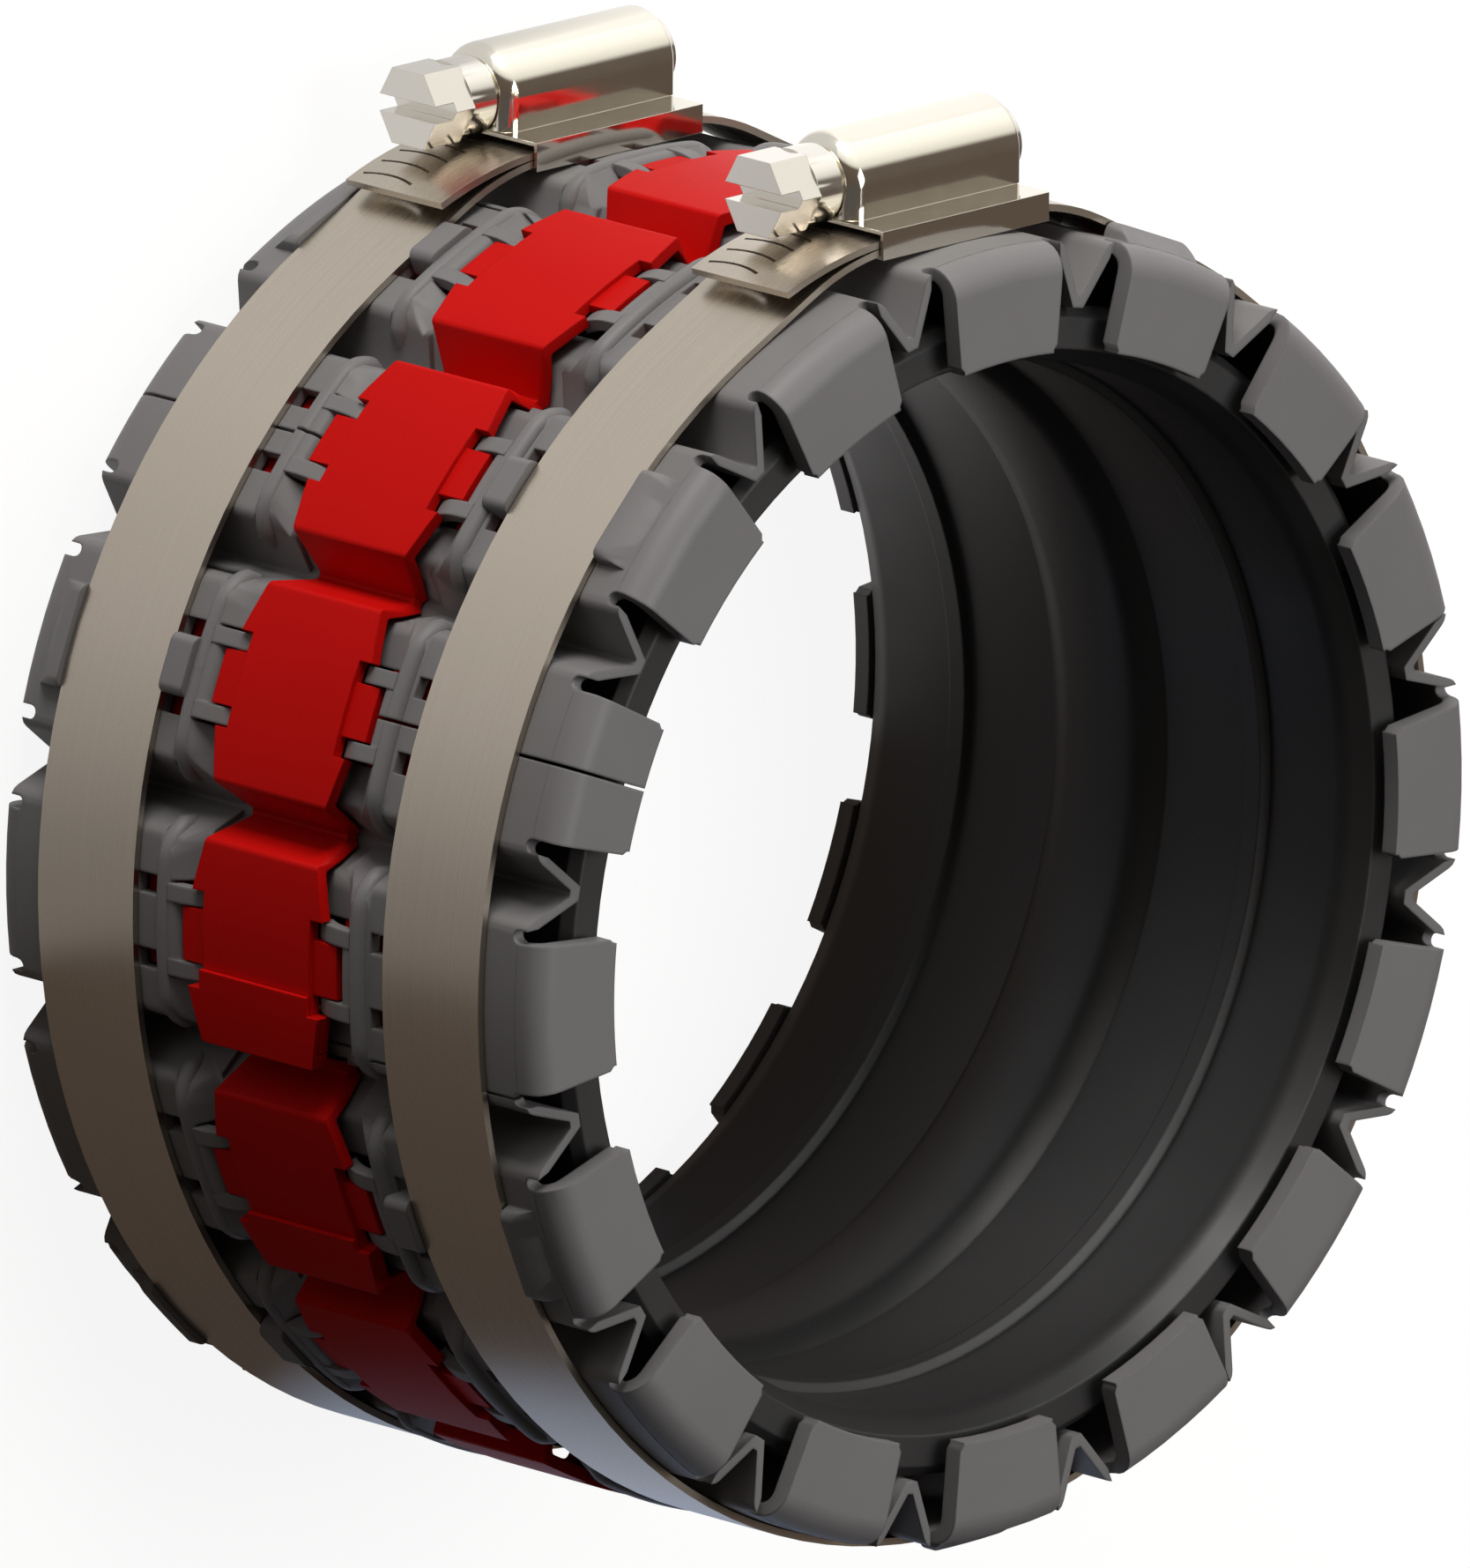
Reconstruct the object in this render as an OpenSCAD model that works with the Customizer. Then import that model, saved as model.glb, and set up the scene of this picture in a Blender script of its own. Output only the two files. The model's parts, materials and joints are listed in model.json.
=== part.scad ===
// Clamp coupling for joining two plastic drain pipes of the same size.
// A moulded rubber sleeve is held by two pleated plastic shells, hooked to a pleated centre ring,
// and drawn down on the pipes by two worm drive bands.
// The origin is on the pipe axis, half way along. +Z runs along the axis and +Y is the top, where the
// screws lie. Pleats are numbered clockwise from the top, seen from the +Z end.

/* [Coupling] */
// Outside diameter of the pipes that it joins
pipe_d = 110; // [104:1:120]
// Length over the two rings of end lugs
coupling_l = 79.2; // [76:0.2:92]
// Number of pleats round each ring
pleats = 16; // [15:1:17]
// Share of the pitch that a crown takes
crown_share = 0.738; // [0.72:0.002:0.75]

/* [Rubber sleeve] */
// Wall of the sleeve over the pipe
sleeve_wall = 6.3; // [5.5:0.1:7]
// Distance of the sleeve's end face behind the lug faces
sleeve_setback = 3.2; // [2.8:0.1:4]
// Length of the sloping lead-in at each mouth
lead_l = 3.8; // [2.5:0.1:4.5]
// How much the mouth is wider than the pipe, on the radius
lead_h = 1.85; // [1:0.05:2.5]
// Length of the sealing land behind the lead-in
land_l = 9.5; // [8:0.1:11]
// Width of the sealing rib
rib_w = 3; // [2:0.1:4]
// Height of the sealing rib
rib_h = 1; // [0.5:0.1:1.5]
// Height of the centre register that the pipe ends meet
register_h = 2.2; // [1.5:0.1:3]
// Half width of the centre register
register_w = 8.15; // [6:0.05:10]

/* [Shell] */
// Height of the pleats from the sleeve to the crowns
pleat_h = 7.05; // [6.6:0.05:7.8]
// Wall of the crowns
crown_wall = 1.4; // [1.2:0.1:1.6]
// Wall of the flanks
flank_wall = 1.0; // [0.8:0.1:1.1]
// Wall at the bottom of each fold
fold_wall = 1.35; // [1.1:0.05:1.5]
// Half width of the flat outside each fold
fold_flat = 0.35; // [0.2:0.05:0.6]
// Rounding between flank and crown
shoulder_round = 1.0; // [0.6:0.1:1.4]
// Thickness of the end lugs
lug_t = 2.0; // [1.6:0.1:2.3]
// Rounding from lug face to crown
lug_round = 3.1; // [2.8:0.1:3.5]
// Width of the relief slots beside each lug
slot_w = 1.4; // [1:0.1:1.6]
// Depth of the lugs below the sleeve's outside
lug_depth = 4.15; // [3:0.05:5]
// Gap of the plain shell joint
split_gap = 0.35; // [0.2:0.05:0.6]

/* [Rim and fingers] */
// Height of the rim above the crowns
rim_h = 0.9; // [0.6:0.1:1.2]
// Rounding of the rim at the shoulders
rim_round = 3; // [2:0.1:3.4]
// Distance from the band to the foot of the rim
rim_gap = 2.6; // [2.2:0.1:3.2]
// Width of the rim
rim_w = 2.6; // [2.3:0.1:3]
// Drop of the skirt, under the centre ring, below the crowns
skirt_drop = 1.7; // [1.6:0.05:2.1]
// Step from the flanks in to the skirt
skirt_step = 0.6; // [0.5:0.05:0.7]
// Radius of the hook fingers, outside
finger_r = 8; // [7:0.1:9]
// Thickness of the hook fingers
finger_t = 1.3; // [1:0.1:1.5]
// Width of a hook finger
finger_w = 1.8; // [1.4:0.1:2]
// Distance of a finger's middle from the middle of its crown
finger_x = 3.97; // [3.7:0.01:4.3]
// Sweep of a hook finger
finger_sweep = 33; // [28:1:36]
// Length of the window behind each finger
window_l = 2.8; // [2:0.1:3]
// Width of the window behind each finger
window_w = 2.2; // [1.6:0.1:2.6]

/* [Band stops] */
// Pleats of the upper shell with a band stop
upper_stops = [1, 5, 8, 11, 14];
// Pleats of the lower shell with a band stop
lower_stops = [4, 7, 10, 13, 15];
// Height of the stops above the crowns
stop_h = 2.5; // [1.5:0.1:2.5]
// Half width of the stop beside the lugs
stop_w = 5.5; // [4:0.1:6]
// Half width of the stop beside the rim
block_w = 3.2; // [2.6:0.1:4]

/* [Centre ring] */
// Wall of the centre ring
ring_wall = 1.3; // [1:0.1:1.4]
// Height of the centre ring above the shell crowns
ring_h = 1.1; // [1:0.05:1.4]
// Running gap between a finger and its notch
notch_gap = 0.2; // [0.1:0.05:0.3]
// How far the ring reaches out beside the notches
bow = 1.7; // [1.3:0.1:2.2]
// Length of the ring's tongues under the shell crowns
tongue_l = 8.8; // [7:0.1:9]
// Height of the lap plates at the ring's two joints
lap_h = 0.65; // [0.5:0.05:0.8]

/* [Bands] */
// Width of the bands
band_w = 13.9; // [13:0.1:14.5]
// Thickness of the bands
band_t = 0.75; // [0.6:0.05:0.9]
// Distance of a band behind the lug faces
band_setback = 7.5; // [7.2:0.1:8.5]
// Angle of the screws from the top, clockwise
clamp_angle = 0.6; // [0:0.1:3]
// Angle from the screw at which the band leaves the crowns
lift_angle = 27; // [25:1:29]
// Bend radius of the band beside the saddle
lift_r = 28.6; // [26:0.2:31]
// Distance of the slotted tail's end from the middle of the saddle
tail_x = 25.3; // [22:0.1:27]
// Bend radius of the tail
tail_r = 45; // [42:1:50]
// Pitch of the slots in the tail
slot_pitch = 2.6; // [2.4:0.1:3]

/* [Housing and screw] */
// Length of the saddle
saddle_l = 24.1; // [23:0.1:26]
// Sheet thickness of the saddle
saddle_t = 0.4; // [0.3:0.05:0.5]
// Height of the screw axis above the band's outside
axis_h = 5.6; // [5.5:0.05:6]
// Distance of the screw axis from the middle of the band
axis_offset = 2.5; // [2:0.1:2.5]
// Radius of the barrel
barrel_r = 5.2; // [5:0.1:5.6]
// Rounding of the barrel's end at the screw head
barrel_round = 2.0; // [1:0.1:2.2]
// Radius of the worm
worm_r = 3.8; // [3.4:0.05:3.9]
// Radius of the screw's journals
journal_r = 2.6; // [2.2:0.1:2.8]
// Running clearance of the journals, on the radius
journal_gap = 0.05; // [0.03:0.01:0.1]
// Radius of the collar under the head
collar_r = 4.2; // [3.8:0.1:4.3]
// Length of the collar
collar_l = 3.6; // [3:0.1:4.5]
// Width of the hexagon across its flats
hex_af = 8; // [7:0.5:8]
// Length of the hexagon
hex_l = 5.2; // [4.5:0.1:7]
// Width of the driver slot
driver_w = 1.8; // [1:0.1:2]
// Depth of the driver slot
driver_d = 2.6; // [2:0.1:3]

/* [Hidden] */
$fn = 96;

// Colours of the pieces
rubber = "#2b2a2a";
grey = "#8c8c8c";
red = "#c61714";
band_steel = "#b8b0a4";
bright_steel = "#d8d4cc";

// Pleat angles
pitch = 360 / pleats;
crown_a = crown_share * pitch / 2;
arc_steps = 3;
round_steps = 3;

// Radii, from the pipe outwards
pipe_r = pipe_d / 2;
seat_gap = 0.05;
seam = 0.03;
sleeve_r = pipe_r + sleeve_wall;
fold_in_r = sleeve_r + seat_gap;
fold_out_r = fold_in_r + fold_wall;
crown_r = fold_in_r + pleat_h;
crown_in_r = crown_r - crown_wall;
skirt_r = crown_r - skirt_drop;
skirt_wall = 1.2;
lug_in_r = sleeve_r - lug_depth;
ring_r = crown_r + ring_h;
ring_in_r = ring_r - ring_wall;
ring_gap = 0.3;
ring_fold_in_r = fold_out_r + ring_gap;
ring_fold_out_r = ring_fold_in_r + ring_wall;
band_gap = 0.15;
band_in_r = crown_r + band_gap;
band_r = band_in_r + band_t;
big_r = crown_r + 40;

// Stations along the axis, from the ends inwards
half_l = coupling_l / 2;
lug_in_u = half_l - lug_t;
slot_u = half_l - lug_round;
sleeve_u = half_l - sleeve_setback;
band_out_u = half_l - band_setback;
band_in_u = band_out_u - band_w;
band_mid_u = band_out_u - band_w / 2;
rim_foot_u = band_in_u - rim_gap;
rim_top_u = rim_foot_u - rim_w;
ridge_u = rim_foot_u - 0.9;
bar_u = rim_top_u - 1.5;
finger_u = rim_top_u - 0.8;
ring_u = finger_u - finger_r * sin(finger_sweep) - 0.1;
scoop_u = rim_top_u - 2.4;
skirt_u = ring_u - 3.7;
tongue_end_u = finger_u - 2.2 + tongue_l;
web_end_u = bar_u - 0.3;
tongue_r = crown_in_r - 0.6;
tongue_wall = 1.2;

// A point at a distance from the axis, on a line from p along the unit vector d
function on_circle(p, d, r) = let (m = p * d) p + d * (-m + sqrt(m * m - p * p + r * r));
function turned(p, a) = [p.x * cos(a) - p.y * sin(a), p.x * sin(a) + p.y * cos(a)];
function bezier(a, k, b, s) = (1 - s) * (1 - s) * a + 2 * s * (1 - s) * k + s * s * b;
function from_fold(r, a) = [r * sin(a), r * cos(a)];
function reversed(list) = [for (i = [len(list) - 1:-1:0]) list[i]];

// The outer face of a flank runs from the fold's flat, t, along the unit vector d, to the shoulder.
// Here y points out through the middle of a fold.
shell_t = [fold_flat, fold_out_r];
shell_k = from_fold(crown_r, pitch / 2 - crown_a);
shell_d = (shell_k - shell_t) / norm(shell_k - shell_t);
shell_n = [shell_d.y, -shell_d.x];
ring_t = [fold_flat, ring_fold_out_r];
ring_crown_a = 1.06 * crown_a;
ring_k = from_fold(ring_r, pitch / 2 - ring_crown_a);
ring_d = (ring_k - ring_t) / norm(ring_k - ring_t);
ring_n = [ring_d.y, -ring_d.x];

// Half a pleat, from the fold's flat to the middle of the crown
function half_pleat(t, d, tip_r, top_r, q) =
  let (tip = t + d * ((tip_r - t.y) / d.y),
       k = on_circle(t, d, top_r),
       start = atan2(k.x, k.y) + (q / top_r) * 180 / PI,
       a = k - d * q,
       b = from_fold(top_r, start))
  concat([tip],
         [for (i = [0:round_steps]) bezier(a, k, b, i / round_steps)],
         [for (i = [1:arc_steps]) from_fold(top_r, start + (pitch / 2 - start) * i / arc_steps)]);

// The closed outline of a whole ring, pleat by pleat
function pleated(half) =
  let (steps = len(half), right = [for (p = half) [p.x, p.y]], left = [for (p = half) [-p.x, p.y]])
  [for (i = [0:pleats - 1])
     for (p = concat([for (j = [steps - 2:-1:0]) right[j]], left))
       turned(p, (i + 0.5) * pitch)];

shell_out = pleated(half_pleat(shell_t, shell_d, fold_out_r, crown_r, shoulder_round));
shell_in = pleated(half_pleat(shell_t + shell_n * flank_wall, shell_d, fold_in_r, crown_in_r, 0.4));
rim_out = pleated(half_pleat(shell_t, shell_d, fold_out_r, crown_r + rim_h + 0.1, rim_round));
skirt_out = pleated(half_pleat(shell_t + shell_n * skirt_step, shell_d, fold_out_r, crown_r,
                               shoulder_round));
skirt_in = pleated(half_pleat(shell_t + shell_n * (skirt_step + flank_wall), shell_d, fold_in_r,
                              skirt_r - skirt_wall, 0.4));
ring_out = pleated(half_pleat(ring_t, ring_d, ring_fold_out_r, ring_r, 0.5));
ring_in = pleated(half_pleat(ring_t + ring_n * flank_wall, ring_d, ring_fold_in_r, ring_in_r, 0.3));

// Shapes are drawn round +Y and turned clockwise to their place
module at_angle(a) rotate([0, 0, -a]) children();
module at_pleat(i) at_angle(i * pitch) children();
module each_pleat() for (i = [0:pleats - 1]) at_pleat(i) children();

// A piece of the plane between two angles, measured clockwise from +Y
module wedge(from, to, r = big_r) {
  n = ceil((to - from) / 45);
  polygon(concat([[0, 0]], [for (i = [0:n]) let (a = from + (to - from) * i / n)
                              [r * sin(a), r * cos(a)]]));
}

module pleated_wall(outer, inner, u0, u1)
  translate([0, 0, u0]) linear_extrude(u1 - u0) difference() {
    polygon(outer);
    polygon(inner);
  }

// A plate that lies flat on the radius, drawn as [across, along the axis]
module radial_plate(points, r0, r1)
  translate([0, r0, 0]) rotate([90, 0, 180]) linear_extrude(r1 - r0)
    polygon([for (p = points) [-p.x, p.y]]);

function arc(c, r, a0, a1, n) = [for (i = [0:n]) let (a = a0 + (a1 - a0) * i / n)
                                   [c.x + r * cos(a), c.y + r * sin(a)]];

// Rubber sleeve

module rubber_sleeve() {
  color(rubber) rotate_extrude($fn = 180) {
    rib_out_u = sleeve_u - lead_l - land_l;
    rib_in_u = rib_out_u - rib_w;
    edge_r = sleeve_r - 1.15;
    bore_half = [[pipe_r + lead_h, sleeve_u], [pipe_r, sleeve_u - lead_l], [pipe_r, rib_out_u],
                 [pipe_r - rib_h, rib_out_u - 0.4], [pipe_r - rib_h, rib_in_u + 0.4],
                 [pipe_r, rib_in_u], [pipe_r, register_w]];
    register_half = [for (i = [0:3]) let (s = i / 4)
                       [pipe_r - register_h + (register_h - 1.2) * s * s, register_w * s]];
    half = concat(bore_half, reversed(register_half));
    back = [for (i = [len(half) - 2:-1:0]) [half[i].x, -half[i].y]];
    polygon(concat([[edge_r, sleeve_u]], half, back,
                   [[edge_r, -sleeve_u], [sleeve_r, -sleeve_u + 1.15], [sleeve_r, sleeve_u - 1.15]]));
  }
}

// Pleated shell, drawn for the +Z end. A seam is a small step that keeps two faces apart where
// rounded and pleated shapes are joined.

lug_top_w = crown_in_r * sin(crown_a - 0.3) - slot_w;
lug_foot_w = lug_top_w - 0.95;
slot_x = lug_top_w + seam + slot_w / 2;

module lug_outline() {
  corner = 0.5;
  polygon([[-lug_foot_w + corner, lug_in_r - 1], [lug_foot_w - corner, lug_in_r - 1],
           [lug_foot_w - corner, lug_in_r], [lug_foot_w, lug_in_r + corner],
           [lug_top_w, crown_in_r], [lug_top_w, crown_r + 1],
           [-lug_top_w, crown_r + 1], [-lug_top_w, crown_in_r],
           [-lug_foot_w, lug_in_r + corner], [-lug_foot_w + corner, lug_in_r]]);
}

module lugs() {
  inner_round = 1.5;
  intersection() {
    rotate_extrude($fn = 180) polygon(concat(
      [[lug_in_r, lug_in_u], [lug_in_r, half_l]],
      arc([crown_r - seam - lug_round, slot_u], lug_round, 90, 0, 6),
      [[crown_r - seam, slot_u - 1], [crown_in_r + seam, slot_u - 1]],
      arc([crown_in_r + seam - inner_round, lug_in_u - inner_round], inner_round, 0, 90, 4)));
    linear_extrude(half_l + 1) each_pleat() lug_outline();
  }
}

module relief_slots() each_pleat() for (s = [-1, 1])
  radial_plate(concat(arc([s * slot_x, slot_u], slot_w / 2, 180, 360, 8),
                      [[s * slot_x + slot_w / 2, half_l + 1], [s * slot_x - slot_w / 2, half_l + 1]]),
               crown_in_r - 2, crown_r + 1);

// Section of the rim with its scoop and the skirt that runs on under the centre ring
module rim_section() polygon(concat(
  [[fold_in_r - 2, skirt_u], [skirt_r, skirt_u], [skirt_r, scoop_u],
   [crown_r + rim_h - 0.3, rim_top_u]],
  arc([crown_r + rim_h - 0.8, ridge_u - 0.5], 0.8, 0, 60, 3),
  [[crown_r - 0.2, rim_foot_u], [fold_in_r - 2, rim_foot_u]]));

module mouths() each_pleat() {
  w = finger_x + finger_w / 2 + 0.3;
  translate([-w, crown_in_r - 4, skirt_u - 1]) cube([2 * w, 12, rim_top_u - skirt_u + 1.1]);
}

module rim() {
  step_u = rim_top_u - 1;
  ledge_u = scoop_u - 0.9;
  difference() {
    intersection() {
      rotate_extrude($fn = 180) rim_section();
      union() {
        pleated_wall(skirt_out, skirt_in, skirt_u, ledge_u);
        pleated_wall(rim_out, skirt_in, ledge_u, step_u);
        pleated_wall(rim_out, shell_in, step_u, rim_foot_u);
      }
    }
    mouths();
  }
}

// The bar between two fingers, with its rounded top
module bars() {
  w = finger_x - finger_w / 2 + 0.1;
  top = 1.3;
  intersection() {
    rotate_extrude($fn = 180) polygon(concat(
      [[crown_r - 1.8, rim_top_u + 0.3], [crown_r - 1.8, bar_u]],
      arc([crown_r + rim_h - top - 0.1, bar_u + top], top, -90, 0, 5),
      [[crown_r + rim_h - 0.1, rim_top_u + 0.3]]));
    linear_extrude(half_l) each_pleat() translate([-w, crown_r - 8]) square([2 * w, 16]);
  }
}

module fingers() {
  c = [crown_r + rim_h - finger_r, finger_u];
  intersection() {
    rotate_extrude($fn = 180) polygon(concat(
      [[c.x + finger_r, rim_top_u + 0.3]], arc(c, finger_r, 0, -finger_sweep, 8),
      arc(c, finger_r - finger_t, -finger_sweep, 0, 6), [[c.x + finger_r - finger_t, rim_top_u + 0.3]]));
    linear_extrude(half_l) each_pleat() for (s = [-1, 1])
      translate([s * finger_x - finger_w / 2, crown_r - 8]) square([finger_w, 16]);
  }
}

module windows() each_pleat() for (s = [-1, 1])
  translate([s * finger_x - window_w / 2, crown_in_r - 1, rim_foot_u - 0.1])
    cube([window_w, crown_wall + 1.5, window_l + 0.1]);

// Stop on the lug side of the band, sloping down to the lug
module end_stop() {
  q = 1;
  top = crown_r + stop_h;
  u0 = band_out_u + 0.2;
  intersection() {
    rotate_extrude($fn = 180) polygon(concat(
      [[crown_in_r + 0.3, u0]], arc([top - q, u0 + q], q, -90, -30, 3),
      [[crown_r - 0.1, slot_u - 0.4], [crown_in_r + 0.3, slot_u - 0.4]]));
    linear_extrude(half_l) polygon(concat(
      [[stop_w, crown_in_r - 4]], arc([stop_w - q, top - 2 * q], q, 0, 90, 4),
      arc([q - stop_w, top - 2 * q], q, 90, 180, 4), [[-stop_w, crown_in_r - 4]]));
  }
}

// Stop on the rim side of the band
module rim_stop() {
  q = 1;
  top = crown_r + stop_h - 0.8;
  translate([0, 0, ridge_u]) linear_extrude(band_in_u - 0.2 - ridge_u) polygon(concat(
    [[block_w, crown_in_r + 0.4]], arc([block_w - q, top - q], q, 0, 90, 4),
    arc([q - block_w, top - q], q, 90, 180, 4), [[-block_w, crown_in_r + 0.4]]));
}

module whole_shell(stops) {
  difference() {
    union() {
      pleated_wall(shell_out, shell_in, rim_foot_u - 0.4, lug_in_u);
      rim();
    }
    translate([0, 0, slot_u]) linear_extrude(lug_round) each_pleat()
      polygon([[-slot_x, crown_in_r - 1.5], [slot_x, crown_in_r - 1.5],
               [slot_x, crown_r + 2], [-slot_x, crown_r + 2]]);
    relief_slots();
    windows();
  }
  lugs();
  bars();
  fingers();
  for (i = stops) at_pleat(i) {
    end_stop();
    rim_stop();
  }
}

// The part of a shell between two angles, measured clockwise from the top
module shell_part(stops, from, to) intersection() {
  whole_shell(stops);
  linear_extrude(half_l + 1) wedge(from, to);
}

// One joint lies in a relief slot, and the other one at the middle of the next crown
lap_a = asin(slot_x / crown_r);
upper_lap = 12 * pitch - lap_a;
upper_split = 13 * pitch;
lower_split = 14 * pitch;
lower_lap = 15 * pitch + lap_a;
half_gap = split_gap / 2 / crown_r * 180 / PI;

module upper_shell() color(grey)
  shell_part(upper_stops, upper_split + half_gap - 360, upper_lap - half_gap);
module upper_shell_link() color(grey)
  shell_part(upper_stops, upper_lap + half_gap, upper_split - half_gap);
module lower_shell() color(grey)
  mirror([0, 0, 1]) shell_part(lower_stops, lower_lap + half_gap - 360, lower_split - half_gap);
module lower_shell_link() color(grey)
  mirror([0, 0, 1]) shell_part(lower_stops, lower_split + half_gap, lower_lap - half_gap);

// Centre ring

// Outline of one crown of the ring, as [across, along the axis], notched for the fingers
notch_in = finger_x - finger_w / 2 - notch_gap;
notch_out = finger_x + finger_w / 2 + notch_gap;
module ring_plate() {
  shoulder_x = ring_r * sin(ring_crown_a);
  edge = [[notch_out, ring_u], [notch_out, ring_u + bow], [shoulder_x, ring_u + 0.35],
          [shoulder_x + 1.4, ring_u - 0.8], [shoulder_x + 4, ring_u - 0.8]];
  right = concat(edge, [for (p = reversed(edge)) [p.x, -p.y]]);
  left = [for (p = reversed(right)) [-p.x, p.y]];
  radial_plate(concat(right, left), fold_in_r - 1, ring_r + 2);
}

module ring_body() intersection() {
  pleated_wall(ring_out, ring_in, -ring_u - bow - 1, ring_u + bow + 1);
  each_pleat() ring_plate();
}

// The tab between two fingers, and the tongue that runs from it under the shell's crown
module tongues() for (s = [0, 1]) mirror([0, 0, s]) {
  intersection() {
    rotate_extrude($fn = 180) polygon([
      [ring_in_r - 0.3, ring_u - 1.5], [ring_r - 0.55, ring_u - 1.5], [ring_r - 0.55, web_end_u],
      [tongue_r, web_end_u], [tongue_r, tongue_end_u], [tongue_r - tongue_wall, tongue_end_u],
      [tongue_r - tongue_wall, web_end_u - 1.2], [ring_in_r - 0.3, web_end_u - 1.2]]);
    linear_extrude(half_l) each_pleat() union() {
      translate([-notch_in, crown_in_r - 6]) square([2 * notch_in, 14]);
      translate([-notch_out, crown_in_r - 6]) square([2 * notch_out, tongue_r - crown_in_r + 6]);
    }
  }
}

// The end of one piece, which starts from a foot on its own crown and lies over the next piece
module lap_plate(from, foot_end, to) intersection() {
  height = 2 * (ring_u + bow + 1);
  translate([0, 0, -height / 2]) union() {
    intersection() {
      rotate_extrude($fn = 180) translate([ring_r - 0.6, 0]) square([lap_h + 0.6, height]);
      linear_extrude(height) wedge(from, foot_end);
    }
    intersection() {
      rotate_extrude($fn = 180) translate([ring_r + seat_gap, 0]) square([lap_h - seat_gap, height]);
      linear_extrude(height) wedge(from, to);
    }
  }
  each_pleat() ring_plate();
}

module ring_part(from, to) intersection() {
  union() {
    ring_body();
    tongues();
  }
  translate([0, 0, -half_l]) linear_extrude(coupling_l) wedge(from, to);
}

// Each joint of the ring: an upper layer ends in a step over the crown of the piece below
upper_step = 12 * pitch - 2.5;
lower_step = 11 * pitch - 3.1;
upper_shoulder = 12 * pitch - crown_a + 0.6;
lower_shoulder = 11 * pitch - crown_a + 0.6;
joint_gap = 0.1;

module centre_ring() color(red) {
  ring_part(upper_shoulder + joint_gap - 360, lower_shoulder - joint_gap);
  lap_plate(lower_shoulder - 1.2, lower_shoulder - joint_gap, lower_step);
}
module centre_ring_link() color(red) {
  ring_part(lower_shoulder, upper_shoulder);
  lap_plate(upper_shoulder - 1.2, upper_shoulder, upper_step);
}

// Band, drawn round its clamp at the top, in the plane across the axis

saddle_gap = 0.1;
saddle_bottom = crown_r + seat_gap;
low_top = saddle_bottom + saddle_t + 0.15 + band_t;
high_top = low_top + 0.05 + band_t;
saddle_top = high_top + 0.95;
axis_y = band_r + axis_h;

// How far from the middle a layer at height top starts to bend down to the crowns
function bend_x(top) = (band_r - lift_r - (top - lift_r) * cos(lift_angle)) / sin(lift_angle);

// Points on an arc about c, between two angles clockwise from +Y
function bend(c, r, from, to, n) = [for (i = [0:n]) c + from_fold(r, from + (to - from) * i / n)];

// One side of the strip, from its start in the saddle, round the coupling and back over itself
tail_c = [-bend_x(low_top), high_top - tail_r];
tail_a = asin((tail_x + tail_c.x) / (tail_r - band_t / 2));
function band_side(inset) = concat(
  [[bend_x(high_top) - 1, low_top - inset]],
  bend([-bend_x(low_top), low_top - lift_r], lift_r - inset, 0, -lift_angle, 8),
  bend([0, 0], band_r - inset, -lift_angle, lift_angle - 360, 100),
  bend([bend_x(high_top), high_top - lift_r], lift_r - inset, lift_angle, 0, 8),
  bend(tail_c, tail_r - inset, 0, -tail_a, 8));

module tail_slots() {
  first_x = -10.4;
  end_land = 1.3;
  slots = floor((tail_x + first_x - end_land) / slot_pitch) + 1;
  slot_r = 10;
  slot_sweep = 20;
  slot_t = 0.35;
  for (i = [0:slots - 1]) {
    x = first_x - i * slot_pitch;
    end_x = x - slot_r * (1 - cos(slot_sweep)) - 0.05 - tail_c.x;
    floor_y = tail_c.y + sqrt(pow(tail_r - band_t, 2) - end_x * end_x);
    translate([x - slot_r, axis_y, -axis_offset]) rotate([90, 0, 0])
      rotate_extrude(angle = 2 * slot_sweep, start = -slot_sweep, $fn = 60)
        translate([slot_r, 0]) square([slot_t, axis_y - floor_y]);
  }
}

module band() at_angle(clamp_angle) difference() {
  translate([0, 0, -band_w / 2]) linear_extrude(band_w)
    polygon(concat(band_side(0), reversed(band_side(band_t))));
  tail_slots();
}

// Housing, drawn in the same place as the band

module saddle() color(bright_steel) at_angle(clamp_angle) {
  near = band_w / 2 + saddle_gap;
  far = axis_offset + barrel_r - saddle_t;
  window_x = 14.6;
  difference() {
    translate([-saddle_l / 2, saddle_bottom, -far - saddle_t])
      cube([saddle_l, saddle_top - saddle_bottom, near + far + 2 * saddle_t]);
    translate([-saddle_l, saddle_bottom + saddle_t, -far])
      cube([2 * saddle_l, saddle_top - saddle_bottom - 2 * saddle_t, near + far]);
    translate([-6, saddle_top - 1, -axis_offset - worm_r])
      cube([window_x + 1, 2, 2 * worm_r]);
  }
}

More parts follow.
